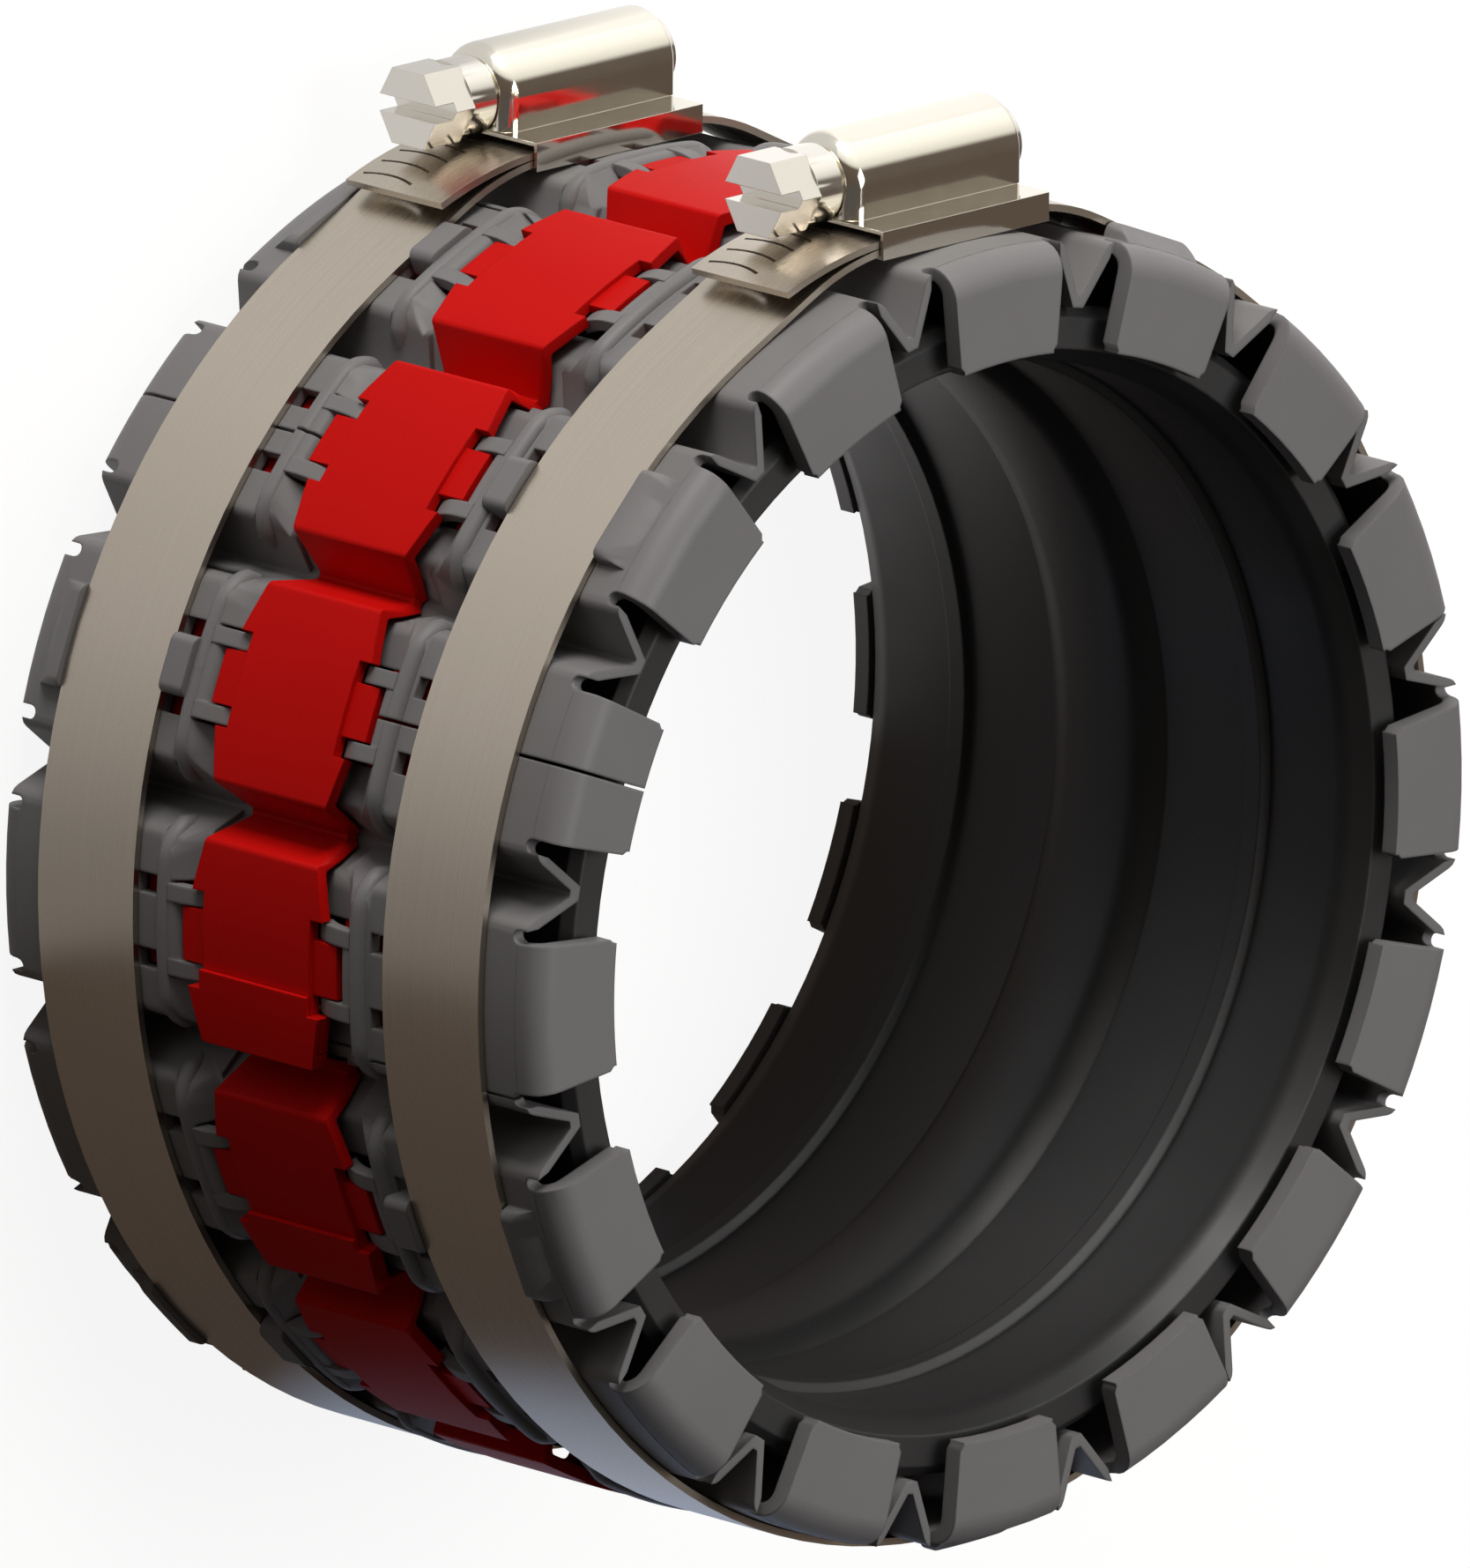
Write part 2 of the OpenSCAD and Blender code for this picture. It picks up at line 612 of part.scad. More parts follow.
module barrel() color(bright_steel) at_angle(clamp_angle) translate([0, axis_y, -axis_offset]) {
  x0 = -saddle_l / 2 + 0.2;
  x1 = saddle_l / 2 + 0.9;
  end_round = 0.8;
  bore_r = barrel_r - 1.1;
  wall = 2;
  section = concat([[0, x0]], arc([barrel_r - barrel_round, x0 + barrel_round], barrel_round, -90, 0, 6),
                   arc([barrel_r - end_round, x1 - end_round], end_round, 0, 90, 4), [[0, x1]]);
  difference() {
    union() {
      rotate([0, 90, 0]) rotate_extrude(angle = 180, $fn = 120) polygon(section);
      translate([0, saddle_top - axis_y, 0]) rotate([-90, 0, 0])
        linear_extrude(axis_y - saddle_top) for (s = [0, 1]) mirror([0, s])
          polygon([for (p = section) [p.y, p.x]]);
    }
    translate([x0 + wall, 0, 0]) rotate([0, 90, 0]) cylinder(r = bore_r, h = x1 - x0 - 2 * wall);
    translate([x0 + wall, saddle_top - axis_y - 1, -bore_r])
      cube([x1 - x0 - 2 * wall, axis_y - saddle_top + 1, 2 * bore_r]);
    translate([x0 - 1, 0, 0]) rotate([0, 90, 0])
      cylinder(r = journal_r + journal_gap, h = x1 - x0 + 2);
  }
}

module screw() color(bright_steel) at_angle(clamp_angle)
  translate([0, axis_y, -axis_offset]) rotate([0, 90, 0]) {
    collar_end = -saddle_l / 2 - 0.1;
    tip = saddle_l / 2 + 1.2;
    translate([0, 0, collar_end - collar_l]) cylinder(r = collar_r, h = collar_l);
    translate([0, 0, collar_end - 0.1]) cylinder(r = journal_r, h = tip - collar_end + 0.2);
    translate([0, 0, -5]) cylinder(r = worm_r, h = 13);
    translate([0, 0, tip]) cylinder(r = collar_r - 0.3, h = 0.9);
    difference() {
      translate([0, 0, collar_end - collar_l - hex_l])
        cylinder(r = hex_af / 2 / cos(30), h = hex_l + 0.1, $fn = 6);
      translate([-hex_af, -driver_w / 2, collar_end - collar_l - hex_l - 1])
        cube([2 * hex_af, driver_w, driver_d + 1]);
    }
  }

module upper_place() translate([0, 0, band_mid_u]) children();
module lower_place() translate([0, 0, -band_mid_u]) children();

module upper_band() color(band_steel) upper_place() band();
module upper_saddle() upper_place() saddle();
module upper_barrel() upper_place() barrel();
module upper_screw() upper_place() screw();
module lower_band() color(band_steel) lower_place() band();
module lower_saddle() lower_place() saddle();
module lower_barrel() lower_place() barrel();
module lower_screw() lower_place() screw();

rubber_sleeve();
upper_shell();
upper_shell_link();
lower_shell();
lower_shell_link();
centre_ring();
centre_ring_link();
upper_band();
upper_saddle();
upper_barrel();
upper_screw();
lower_band();
lower_saddle();
lower_barrel();
lower_screw();
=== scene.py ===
# %% [markdown]
# # A clamp coupling for drain pipes
# The coupling joins two plastic pipes. A rubber sleeve seals on them, two pleated grey shells and
# a red ring hold the sleeve in shape, and two worm drive bands draw everything tight. The exact
# solids come from the CAD model. This lesson dresses them: it gives each finish its material,
# smooths the shading, rounds the rims, adds the worm threads, and lights and frames the part as a
# product photographer would.

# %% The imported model
import json
import math

import bmesh
import bpy
from mathutils import Matrix, Vector


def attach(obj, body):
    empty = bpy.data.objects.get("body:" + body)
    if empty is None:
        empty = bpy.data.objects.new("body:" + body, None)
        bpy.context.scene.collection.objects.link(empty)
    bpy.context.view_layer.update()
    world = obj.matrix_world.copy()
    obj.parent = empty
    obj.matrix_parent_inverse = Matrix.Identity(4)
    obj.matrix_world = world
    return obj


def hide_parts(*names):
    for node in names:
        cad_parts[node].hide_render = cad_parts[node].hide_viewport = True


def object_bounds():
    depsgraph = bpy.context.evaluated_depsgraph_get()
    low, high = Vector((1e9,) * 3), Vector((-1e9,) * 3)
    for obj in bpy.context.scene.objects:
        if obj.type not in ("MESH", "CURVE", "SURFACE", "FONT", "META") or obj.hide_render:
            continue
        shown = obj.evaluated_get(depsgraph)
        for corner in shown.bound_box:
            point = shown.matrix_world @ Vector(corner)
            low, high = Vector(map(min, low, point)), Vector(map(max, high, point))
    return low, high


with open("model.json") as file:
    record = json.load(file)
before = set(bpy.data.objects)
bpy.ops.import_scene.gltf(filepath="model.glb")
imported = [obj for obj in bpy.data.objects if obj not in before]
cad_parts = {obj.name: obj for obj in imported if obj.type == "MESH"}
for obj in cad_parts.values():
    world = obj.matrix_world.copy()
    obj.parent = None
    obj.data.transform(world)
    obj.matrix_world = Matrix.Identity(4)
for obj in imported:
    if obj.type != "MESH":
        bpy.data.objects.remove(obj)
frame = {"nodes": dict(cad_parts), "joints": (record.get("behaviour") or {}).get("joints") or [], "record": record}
cad_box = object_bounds()
MM = 0.001
print("nodes:", ", ".join(sorted(frame["nodes"])))
print("box in mm:", [round(v / MM, 1) for corner in cad_box for v in corner])

# %% [markdown]
# ## The camera
# The picture has no perspective: the far pleats are as large as the near ones. A real lens comes
# close to that from far away, so the camera stands several metres off with a very long lens. The
# three directions below are the camera's own axes in the part's frame. The pipe axis points at the
# right of the picture and towards us, so the camera looks into the open mouth of the sleeve.

# %% Camera
CAMERA_RIGHT = Vector((0.7075, 0.0, 0.7067))
CAMERA_UP = Vector((0.1877, 0.9643, -0.1879))
CAMERA_BACK = CAMERA_RIGHT.cross(CAMERA_UP).normalized()
VIEW_HEIGHT = 161.7 * MM
VIEW_CENTRE = CAMERA_RIGHT * (-0.13 * MM) + CAMERA_UP * (4.36 * MM)
SENSOR = 36.0
LENS = 1300.0

lens = bpy.data.cameras.new("long_lens")
lens.sensor_width = SENSOR
lens.lens = LENS
distance = VIEW_HEIGHT * LENS / SENSOR
lens.clip_end = 3 * distance
camera = bpy.data.objects.new("camera", lens)
camera_axes = Matrix((CAMERA_RIGHT, CAMERA_UP, CAMERA_BACK)).transposed()
camera_place = Matrix.Translation(VIEW_CENTRE + CAMERA_BACK * distance)
camera.matrix_world = camera_place @ camera_axes.to_4x4()
bpy.context.scene.collection.objects.link(camera)
bpy.context.scene.camera = camera
print("the camera stands", round(distance, 2), "m from the part")

# %% [markdown]
# ## Nodes and colours
# Colours are written as they look on a screen, and Blender calculates with linear light, so one
# function turns one into the other. A second one adds a shader node with its settings and inputs,
# where a name that starts with an underscore and a number picks the socket by its place. The rest
# start a material, end it, and lay colours along a ramp, so each material stays short enough to
# read from top to bottom.

# %% Colour and node helpers
def linear(code):
    values = [int(code[i:i + 2], 16) / 255 for i in (1, 3, 5)]
    return (*[v / 12.92 if v <= 0.04045 else ((v + 0.055) / 1.055) ** 2.4 for v in values], 1.0)


def add_node(tree, kind, settings=None, **inputs):
    made = tree.nodes.new(kind)
    for key, value in (settings or {}).items():
        setattr(made, key, value)
    for key, value in inputs.items():
        place = int(key[1:]) if key[1:].isdigit() else key.replace("_", " ")
        socket = made.inputs[place]
        if isinstance(value, bpy.types.NodeSocket):
            tree.links.new(value, socket)
        else:
            socket.default_value = value
    return made


def new_material(name):
    material = bpy.data.materials.new(name)
    material.use_nodes = True
    tree = material.node_tree
    tree.nodes.clear()
    place = add_node(tree, "ShaderNodeTexCoord").outputs["Object"]
    return material, tree, place


def finish_material(tree, **inputs):
    surface = add_node(tree, "ShaderNodeBsdfPrincipled", None, **inputs)
    add_node(tree, "ShaderNodeOutputMaterial", None, Surface=surface.outputs["BSDF"])


def set_stops(ramp, stops):
    elements = ramp.color_ramp.elements
    while len(elements) < len(stops):
        elements.new(0.5)
    for element, (position, code) in zip(elements, stops):
        element.position = position
        element.color = linear(code)


BLEND = {"data_type": "RGBA"}
print("mid grey #808080 is", round(linear("#808080")[0], 3), "in linear light")

# %% [markdown]
# ## Moulded plastic
# The shells and the ring are injection moulded polypropylene. The mould was spark eroded, which
# leaves a fine even grain, so light spreads softly and the highlights have no sharp rim. Real
# grain is about 0.1 mm across and would vanish in the picture, so it is drawn at 0.25 mm. A slow,
# weak change of colour stands for the flow of the melt. The shader's bevel gives moulded edges the
# thin soft line of light that a radius of a few tenths of a millimetre has.

# %% Plastic
GRAIN = 0.25 * MM
GRAIN_DEPTH = 0.05 * MM
GRAIN_STRENGTH = 0.12
GRAIN_ROUGHNESS = 0.04
FLOW = 12 * MM
EDGE_SAMPLES = {"samples": 4}
POLYPROPYLENE_IOR = 1.49


def moulded_plastic(name, light_code, dark_code, roughness, sheen, edge):
    material, tree, place = new_material(name)
    flow = add_node(tree, "ShaderNodeTexNoise", None, Vector=place, Scale=1 / FLOW, Detail=3.0)
    colour = add_node(tree, "ShaderNodeMix", BLEND, _0=flow.outputs["Fac"],
                      _6=linear(dark_code), _7=linear(light_code))
    grain = add_node(tree, "ShaderNodeTexNoise", None, Vector=place, Scale=1 / GRAIN, Detail=2.0)
    rough = add_node(tree, "ShaderNodeMapRange", None, Value=grain.outputs["Fac"],
                     To_Min=roughness - GRAIN_ROUGHNESS, To_Max=roughness + GRAIN_ROUGHNESS)
    rounded = add_node(tree, "ShaderNodeBevel", EDGE_SAMPLES, Radius=edge)
    bump = add_node(tree, "ShaderNodeBump", None, Height=grain.outputs["Fac"],
                    Normal=rounded.outputs["Normal"], Strength=GRAIN_STRENGTH,
                    Distance=GRAIN_DEPTH)
    finish_material(tree, Base_Color=colour.outputs["Result"], Roughness=rough.outputs["Result"],
                    Normal=bump.outputs["Normal"], IOR=POLYPROPYLENE_IOR,
                    Specular_IOR_Level=sheen)
    return material


grey_plastic = moulded_plastic("moulded_grey_polypropylene", "#7C7A7A", "#757373",
                               roughness=0.42, sheen=0.2, edge=0.4 * MM)
red_plastic = moulded_plastic("moulded_red_polypropylene", "#C7100D", "#BF0E0B",
                              roughness=0.45, sheen=0.05, edge=0.25 * MM)
print("plastics:", grey_plastic.name, red_plastic.name)

# %% [markdown]
# ## Moulded rubber
# The sleeve is EPDM rubber, filled with carbon black. It takes in nearly all the light and gives
# back a broad, weak sheen. A faint orange peel about 1.5 mm across comes from the mould, and the
# sheen changes a little over the surface where wax has come out of the rubber.

# %% Rubber
PEEL = 1.5 * MM
PEEL_DEPTH = 0.1 * MM
PEEL_STRENGTH = 0.08
RUBBER_EDGE = 0.4 * MM
RUBBER_ROUGHNESS = (0.36, 0.5)
RUBBER_IOR = 1.52


def moulded_rubber(name, code):
    material, tree, place = new_material(name)
    peel = add_node(tree, "ShaderNodeTexNoise", None, Vector=place, Scale=1 / PEEL, Detail=2.0)
    wax = add_node(tree, "ShaderNodeTexNoise", None, Vector=place, Scale=1 / FLOW, Detail=4.0)
    rough = add_node(tree, "ShaderNodeMapRange", None, Value=wax.outputs["Fac"],
                     To_Min=RUBBER_ROUGHNESS[0], To_Max=RUBBER_ROUGHNESS[1])
    rounded = add_node(tree, "ShaderNodeBevel", EDGE_SAMPLES, Radius=RUBBER_EDGE)
    bump = add_node(tree, "ShaderNodeBump", None, Height=peel.outputs["Fac"],
                    Normal=rounded.outputs["Normal"], Strength=PEEL_STRENGTH, Distance=PEEL_DEPTH)
    finish_material(tree, Base_Color=linear(code), Roughness=rough.outputs["Result"],
                    Normal=bump.outputs["Normal"], IOR=RUBBER_IOR)
    return material


rubber = moulded_rubber("moulded_epdm_rubber", "#232222")
print("rubber:", rubber.name)

# %% [markdown]
# ## Rolled steel strip
# The bands are stainless strip. The rolls leave hair lines along the strip, which spread light
# across its width and hardly along it. The lines run round the part, so the pattern is drawn in
# the angle round the pipe axis and the height along it, with a very long grain round the axis.

# %% Strip
LINE_WIDTH = 0.12 * MM
LINE_LENGTH = 60 * MM
LINE_DEPTH = 0.01 * MM
LINE_STRENGTH = 0.1
STRIP_ROUGHNESS = (0.22, 0.34)
BAND_RADIUS = 69 * MM


def rolled_strip(name, light_code, dark_code):
    material, tree, place = new_material(name)
    xyz = add_node(tree, "ShaderNodeSeparateXYZ", None, Vector=place)
    turn = add_node(tree, "ShaderNodeMath", {"operation": "ARCTAN2"}, _0=xyz.outputs["X"],
                    _1=xyz.outputs["Y"])
    along = add_node(tree, "ShaderNodeMath", {"operation": "MULTIPLY"}, _0=turn.outputs["Value"],
                     _1=BAND_RADIUS / LINE_LENGTH)
    across = add_node(tree, "ShaderNodeMath", {"operation": "MULTIPLY"}, _0=xyz.outputs["Z"],
                      _1=1 / LINE_WIDTH)
    flat = add_node(tree, "ShaderNodeCombineXYZ", None, X=along.outputs["Value"],
                    Y=across.outputs["Value"])
    lines = add_node(tree, "ShaderNodeTexNoise", None, Vector=flat.outputs["Vector"], Scale=1.0,
                     Detail=3.0)
    colour = add_node(tree, "ShaderNodeMix", BLEND, _0=lines.outputs["Fac"],
                      _6=linear(dark_code), _7=linear(light_code))
    rough = add_node(tree, "ShaderNodeMapRange", None, Value=lines.outputs["Fac"],
                     To_Min=STRIP_ROUGHNESS[0], To_Max=STRIP_ROUGHNESS[1])
    bump = add_node(tree, "ShaderNodeBump", None, Height=lines.outputs["Fac"],
                    Strength=LINE_STRENGTH, Distance=LINE_DEPTH)
    finish_material(tree, Base_Color=colour.outputs["Result"], Roughness=rough.outputs["Result"],
                    Normal=bump.outputs["Normal"], Metallic=1.0)
    return material


strip_steel = rolled_strip("rolled_stainless_strip", "#D2C8BA", "#C2B8AA")
print("strip:", strip_steel.name)

# %% [markdown]
# ## Bright steel
# Saddle and barrel are pressed from bright sheet, and the screw is turned and tumbled. Both are
# smoother than the strip and mirror the studio. A faint waviness breaks the reflections, as on
# any pressed sheet, and the screw has a little more roughness.

# %% Pressed and turned steel
WAVE = 3 * MM
WAVE_DEPTH = 0.05 * MM
WAVE_STRENGTH = 0.05
WAVE_ROUGHNESS = 0.03


def bright_steel(name, code, roughness, edge):
    material, tree, place = new_material(name)
    wave = add_node(tree, "ShaderNodeTexNoise", None, Vector=place, Scale=1 / WAVE, Detail=2.0)
    rounded = add_node(tree, "ShaderNodeBevel", EDGE_SAMPLES, Radius=edge)
    bump = add_node(tree, "ShaderNodeBump", None, Height=wave.outputs["Fac"],
                    Normal=rounded.outputs["Normal"], Strength=WAVE_STRENGTH, Distance=WAVE_DEPTH)
    rough = add_node(tree, "ShaderNodeMapRange", None, Value=wave.outputs["Fac"],
                     To_Min=roughness - WAVE_ROUGHNESS, To_Max=roughness + WAVE_ROUGHNESS)
    finish_material(tree, Base_Color=linear(code), Roughness=rough.outputs["Result"],
                    Normal=bump.outputs["Normal"], Metallic=1.0)
    return material


housing_steel = bright_steel("pressed_bright_steel", "#EDE8DC", roughness=0.1, edge=0.1 * MM)
screw_steel = bright_steel("turned_bright_steel", "#E6E2DA", roughness=0.16, edge=0.15 * MM)
print("steels:", housing_steel.name, screw_steel.name)

# %% [markdown]
# ## Dressing the solids
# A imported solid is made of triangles. Each one is copied, its doubled corners are merged, and flat
# areas become single faces. Edges between faces that meet at a small angle are then shaded smooth,
# and the others stay sharp. The moulded folds get a wider limit than the steel, so that they read
# as rounded. Weighted normals keep the large flat faces flat, so only the small faces of a
# rounding turn the light.

# %% Smooth copies
MERGE = 0.002 * MM
FLAT_ANGLE = math.radians(0.6)
SMOOTH_ANGLE = math.radians(32)
FOLD_ANGLE = math.radians(65)


def dress(node, material, smooth_angle=SMOOTH_ANGLE):
    bm = bmesh.new()
    bm.from_mesh(frame["nodes"][node].data)
    bmesh.ops.remove_doubles(bm, verts=bm.verts, dist=MERGE)
    bmesh.ops.dissolve_limit(bm, angle_limit=FLAT_ANGLE, verts=bm.verts, edges=bm.edges)
    for edge in bm.edges:
        edge.smooth = edge.is_manifold and edge.calc_face_angle(0.0) < smooth_angle
    for face in bm.faces:
        face.smooth = True
    mesh = bpy.data.meshes.new(node + "_dressed")
    bm.to_mesh(mesh)
    bm.free()
    piece = bpy.data.objects.new(node + "_dressed", mesh)
    bpy.context.scene.collection.objects.link(piece)
    mesh.materials.append(material)
    weights = piece.modifiers.new("flat_faces", "WEIGHTED_NORMAL")
    weights.keep_sharp = True
    bodies = frame["record"]["behaviour"]["bodies"]
    body = next(name for name, nodes in bodies.items() if node in nodes)
    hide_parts(node)
    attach(piece, body)
    print(node, "on", body, len(mesh.polygons), "faces")


dress("rubber_sleeve", rubber)
for shell in ("upper_shell", "upper_shell_link", "lower_shell", "lower_shell_link"):
    dress(shell, grey_plastic, FOLD_ANGLE)
for ring in ("centre_ring", "centre_ring_link"):
    dress(ring, red_plastic, FOLD_ANGLE)
for end in ("upper", "lower"):
    dress(end + "_band", strip_steel)
    dress(end + "_saddle", housing_steel)
    dress(end + "_barrel", housing_steel)
    dress(end + "_screw", screw_steel)

# %% [markdown]
# ## Rim beads
# On the real mouldings a rounded bead stiffens the rim beside the fingers. It runs along each
# crown, turns down over the shoulder and fades into the flank. The solids have the raised rim, and
# the bead stands a quarter of a millimetre out of it. Half of one bead is a circle of edges that
# is spun twice, round the pipe axis and round the shoulder, and then drawn out to a thin tip
# inside the flank.

# %% Half a bead
BEAD_RADIUS = 1.15 * MM
BEAD_SIDES = 14
BEAD_CENTRE = 68.4 * MM
BEAD_HEIGHT = 14.05 * MM
CROWN_TURN = math.radians(5.8)
CROWN_STEPS = 4
SHOULDER_RADIUS = 3.95 * MM
SHOULDER_TURN = math.radians(63.5)
SHOULDER_STEPS = 8
BEAD_TAIL = 3.5 * MM
BEAD_DIVE = 1.1 * MM
TIP_SHARE = (0.5, 0.5, 0.5)
PIPE_AXIS = Vector((0, 0, 1))


def outwards(angle):
    return Vector((math.sin(angle), math.cos(angle), 0))


def half_bead():
    bm = bmesh.new()
    place = Matrix.Translation((0, BEAD_CENTRE, BEAD_HEIGHT)) @ Matrix.Rotation(math.pi / 2, 4, "Y")
    bmesh.ops.create_circle(bm, cap_ends=False, segments=BEAD_SIDES, radius=BEAD_RADIUS,
                            matrix=place)
    end = bm.verts[:] + bm.edges[:]
    corner = outwards(CROWN_TURN) * (BEAD_CENTRE - SHOULDER_RADIUS)
    for centre, angle, steps in ((Vector(), CROWN_TURN, CROWN_STEPS),
                                 (corner, SHOULDER_TURN, SHOULDER_STEPS)):
        end = bmesh.ops.spin(bm, geom=end, axis=-PIPE_AXIS, cent=centre, angle=angle, steps=steps,
                             use_merge=False)["geom_last"]
    rim = [e for e in end if isinstance(e, bmesh.types.BMEdge)]
    made = bmesh.ops.extrude_edge_only(bm, edges=rim)["geom"]
    tip = [v for v in made if isinstance(v, bmesh.types.BMVert)]
    heading = CROWN_TURN + SHOULDER_TURN
    along = Vector((math.cos(heading), -math.sin(heading), 0))
    bmesh.ops.translate(bm, verts=tip, vec=along * BEAD_TAIL - outwards(heading) * BEAD_DIVE)
    middle = sum((v.co for v in tip), Vector()) / len(tip)
    bmesh.ops.scale(bm, verts=tip, vec=TIP_SHARE, space=Matrix.Translation(-middle))
    bmesh.ops.holes_fill(bm, edges=[e for e in bm.edges if e.is_boundary])
    bmesh.ops.recalc_face_normals(bm, faces=bm.faces)
    mesh = bpy.data.meshes.new("half_bead")
    bm.to_mesh(mesh)
    bm.free()
    print("half a bead has", len(mesh.polygons), "faces")
    return mesh


# %% [markdown]
# Mirrored and turned copies of that half make the 16 beads of an end. Where the shell has its
# plain joint, both halves draw back a little, so the joint stays open. The beads of the lower end
# are those of the upper one, mirrored through the middle of the coupling.

# %% All beads
PLEATS = 16
PITCH = 2 * math.pi / PLEATS
JOINT_TURN = math.radians(0.15)
BEAD_SMOOTH_ANGLE = math.radians(50)


def rim_beads(end, half, joint_pleat):
    bm = bmesh.new()
    for pleat in range(PLEATS):
        gap = JOINT_TURN if pleat == joint_pleat else 0.0
        for side in (1, -1):
            start = len(bm.verts)
            bm.from_mesh(half)
            bm.verts.ensure_lookup_table()
            turn = Matrix.Rotation(-pleat * PITCH - side * gap, 3, "Z")
            mirror = Matrix.Scale(side, 3, (1, 0, 0))
            bmesh.ops.transform(bm, matrix=turn @ mirror, verts=bm.verts[start:])
    if end == "lower":
        bmesh.ops.scale(bm, verts=bm.verts, vec=(1, 1, -1))
    bmesh.ops.recalc_face_normals(bm, faces=bm.faces)
    for edge in bm.edges:
        edge.smooth = edge.calc_face_angle(0.0) < BEAD_SMOOTH_ANGLE
    for face in bm.faces:
        face.smooth = True
    mesh = bpy.data.meshes.new(end + "_rim_beads")
    bm.to_mesh(mesh)
    bm.free()
    beads = bpy.data.objects.new(end + "_rim_beads", mesh)
    bpy.context.scene.collection.objects.link(beads)
    mesh.materials.append(grey_plastic)
    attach(beads, "coupling")
    print(beads.name, len(mesh.polygons), "faces")


bead = half_bead()
rim_beads("upper", bead, joint_pleat=13)
rim_beads("lower", bead, joint_pleat=14)

# %% [markdown]
# ## Worm threads
# The worm that drives the band is a coarse thread. Four vertices draw one tooth's section, and a
# spin with a step along the axis winds it into a helix. The thread has the pitch of the slots in
# the band and rides with its screw.

# %% Threads
THREAD_PITCH = 2.6 * MM
THREAD_TURNS = 4
STEPS_A_TURN = 32
WORM_RADIUS = 3.8 * MM
WORM_MIDDLE = 1.5 * MM
TOOTH = [(a * MM, h * MM) for a, h in ((-0.5, -0.05), (0.5, -0.05), (0.28, 0.24), (-0.28, 0.24))]


def worm_thread(end):
    joint = next(j for j in frame["joints"] if j["name"] == end + "_screw_turn")
    axis = Vector(joint["axis"])
    centre = Vector(joint["pos_m"])
    start = centre - axis * (THREAD_PITCH * THREAD_TURNS / 2 - WORM_MIDDLE)
    out = axis.orthogonal().normalized()
    bm = bmesh.new()
    section = [bm.verts.new(start + axis * a + out * (WORM_RADIUS + h)) for a, h in TOOTH]
    face = bm.faces.new(section)
    bmesh.ops.spin(bm, geom=[face, *face.edges, *section], axis=axis, cent=centre,
                   dvec=axis * (THREAD_PITCH / STEPS_A_TURN), angle=THREAD_TURNS * 2 * math.pi,
                   steps=THREAD_TURNS * STEPS_A_TURN, use_merge=False)
    bmesh.ops.remove_doubles(bm, verts=bm.verts, dist=MERGE)
    bmesh.ops.recalc_face_normals(bm, faces=bm.faces)
    mesh = bpy.data.meshes.new(end + "_thread")
    bm.to_mesh(mesh)
    bm.free()
    thread = bpy.data.objects.new(end + "_thread", mesh)
    bpy.context.scene.collection.objects.link(thread)
    mesh.materials.append(screw_steel)
    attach(thread, end + "_screw_body")
    print(thread.name, len(mesh.polygons), "faces")


worm_thread("upper")
worm_thread("lower")

# %% [markdown]
# ## Floor
# The part stands on its far end on a pale floor that gives light of its own, as a product table
# that is lit from below. The camera sees the bands from above, so all that they mirror is this
# floor. In mirrors it therefore shows a ring of cards instead of plain white: light ones on the
# clamps' side of the part, a sharp step to brown just past its widest line, and cool ones on the
# side away from the clamps. The cards to the right of the clamps are brighter. Matt faces get a
# little over half of the light that mirrors show.

# %% Floor
FLOOR_HALF = 1.6
CARD_STOPS = ((0.2, "#E2E1E0"), (0.36, "#CBC8C8"), (0.48, "#989694"), (0.535, "#8E8A88"),
              (0.555, "#5F564F"), (0.85, "#4E4540"), (0.92, "#95A1B9"), (1.0, "#A9B4CA"))
BRIGHT_SIDE = 40 * MM
BRIGHT_FACTOR = 1.7
FLOOR_GLOW = {"mirror": 0.9, "matt": 0.5}

floor_mesh = bpy.data.meshes.new("floor")
bm = bmesh.new()
bmesh.ops.create_grid(bm, x_segments=1, y_segments=1, size=FLOOR_HALF)
bmesh.ops.translate(bm, verts=bm.verts, vec=(0, 0, cad_box[0].z))
bm.to_mesh(floor_mesh)
bm.free()
floor = bpy.data.objects.new("floor", floor_mesh)
bpy.context.scene.collection.objects.link(floor)
print("floor at", round(cad_box[0].z / MM, 2), "mm")

# %% Floor material
floor_paint, tree, place = new_material("lit_white_floor")
xyz = add_node(tree, "ShaderNodeSeparateXYZ", None, Vector=place)
side = add_node(tree, "ShaderNodeMath", {"operation": "ABSOLUTE"}, _0=xyz.outputs["X"])
turn = add_node(tree, "ShaderNodeMath", {"operation": "ARCTAN2"}, _0=side.outputs["Value"],
                _1=xyz.outputs["Y"])
half_turns = add_node(tree, "ShaderNodeMapRange", None, Value=turn.outputs["Value"],
                      From_Max=math.pi)
cards = add_node(tree, "ShaderNodeValToRGB", None, Fac=half_turns.outputs["Result"])
set_stops(cards, CARD_STOPS)
boost = add_node(tree, "ShaderNodeMapRange", None, Value=xyz.outputs["X"], From_Max=BRIGHT_SIDE,
                 To_Min=1.0, To_Max=BRIGHT_FACTOR)
bright_cards = add_node(tree, "ShaderNodeVectorMath", {"operation": "SCALE"},
                        _0=cards.outputs["Color"], Scale=boost.outputs["Result"])
rays = add_node(tree, "ShaderNodeLightPath")
glow = add_node(tree, "ShaderNodeMix", BLEND, _0=rays.outputs["Is Camera Ray"],
                _6=bright_cards.outputs["Vector"], _7=linear("#FFFFFF"))
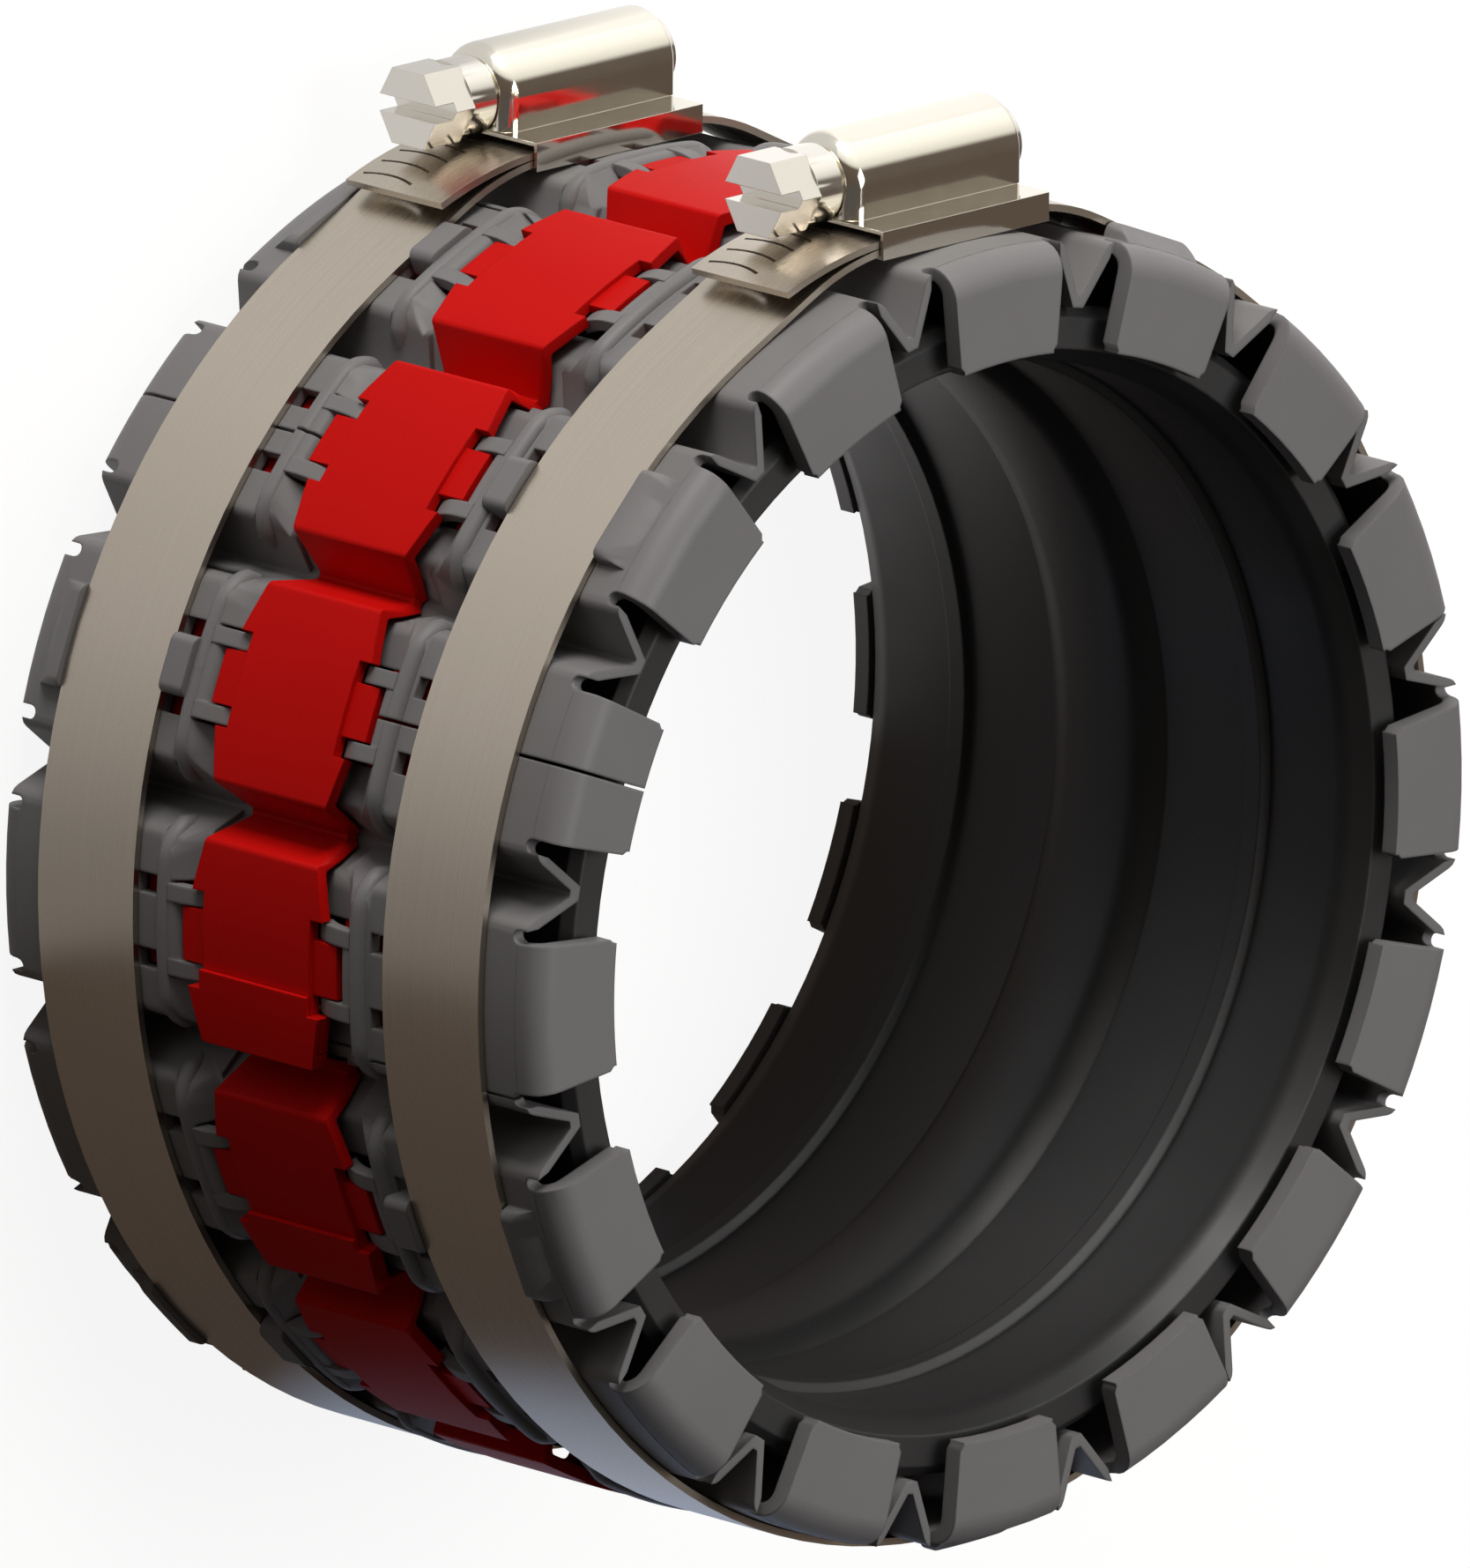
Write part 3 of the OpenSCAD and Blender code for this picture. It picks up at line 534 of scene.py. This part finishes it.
power = add_node(tree, "ShaderNodeMapRange", None, Value=rays.outputs["Is Diffuse Ray"],
                 To_Min=FLOOR_GLOW["mirror"], To_Max=FLOOR_GLOW["matt"])
base = add_node(tree, "ShaderNodeMix", BLEND, _0=rays.outputs["Is Camera Ray"],
                _6=linear("#202020"), _7=linear("#6E6E6C"))
finish_material(tree, Base_Color=base.outputs["Result"], Roughness=0.9, Specular_IOR_Level=0.1,
                Emission_Color=glow.outputs["Result"], Emission_Strength=power.outputs["Result"])
floor_mesh.materials.append(floor_paint)
print("floor material:", floor_paint.name)

# %% [markdown]
# ## Light
# A square soft box above the camera is the main light, and a second one at the camera's right
# opens the shadows in the mouth. The dome around is white above and brown below, with the change
# a little above the camera's eye level, so bright steel shows a light side and a dark side with a
# clear edge between them. It lights matt faces with a third of that strength, which keeps the
# folds dark.

# %% Soft boxes
def soft_box(name, direction, distance, size, watts, colour):
    light = bpy.data.lights.new(name, "AREA")
    light.shape = "SQUARE"
    light.size = size
    light.energy = watts
    light.color = linear(colour)[:3]
    lamp = bpy.data.objects.new(name, light)
    lamp.location = direction.normalized() * distance
    lamp.rotation_mode = "QUATERNION"
    lamp.rotation_quaternion = direction.to_track_quat("Z", "Y")
    bpy.context.scene.collection.objects.link(lamp)
    print(name, watts, "W from", [round(v, 2) for v in lamp.location], "m")


soft_box("key", CAMERA_UP * 0.86 + CAMERA_BACK * 0.51, distance=0.9, size=0.45, watts=5.8,
         colour="#FFFDFA")
soft_box("side_fill", CAMERA_RIGHT * 0.85 + CAMERA_BACK * 0.5, distance=1.4, size=0.7, watts=10.0,
         colour="#FFFFFF")

# %% Dome
DOME_STOPS = ((0.25, "#4A4846"), (0.36, "#50463F"), (0.61, "#574E46"), (0.67, "#D2D0CA"),
              (0.8, "#F2F0EA"), (0.92, "#FFFFFF"))
DOME_STRENGTH = {"mirror": 1.35, "matt": 0.45}

world = bpy.data.worlds.new("studio_dome")
world.use_nodes = True
bpy.context.scene.world = world
tree = world.node_tree
tree.nodes.clear()
direction = add_node(tree, "ShaderNodeTexCoord").outputs["Generated"]
height = add_node(tree, "ShaderNodeVectorMath", {"operation": "DOT_PRODUCT"}, _0=direction,
                  _1=tuple(CAMERA_UP))
share = add_node(tree, "ShaderNodeMapRange", None, Value=height.outputs["Value"], From_Min=-1.0,
                 From_Max=1.0)
sky = add_node(tree, "ShaderNodeValToRGB", None, Fac=share.outputs["Result"])
set_stops(sky, DOME_STOPS)
rays = add_node(tree, "ShaderNodeLightPath")
shown = add_node(tree, "ShaderNodeMix", BLEND, _0=rays.outputs["Is Camera Ray"],
                 _6=sky.outputs["Color"], _7=linear("#F4F4F4"))
power = add_node(tree, "ShaderNodeMapRange", None, Value=rays.outputs["Is Diffuse Ray"],
                 To_Min=DOME_STRENGTH["mirror"], To_Max=DOME_STRENGTH["matt"])
light = add_node(tree, "ShaderNodeBackground", None, Color=shown.outputs["Result"],
                 Strength=power.outputs["Result"])
add_node(tree, "ShaderNodeOutputWorld", None, Surface=light.outputs["Background"])
bpy.context.scene.view_settings.view_transform = "Standard"
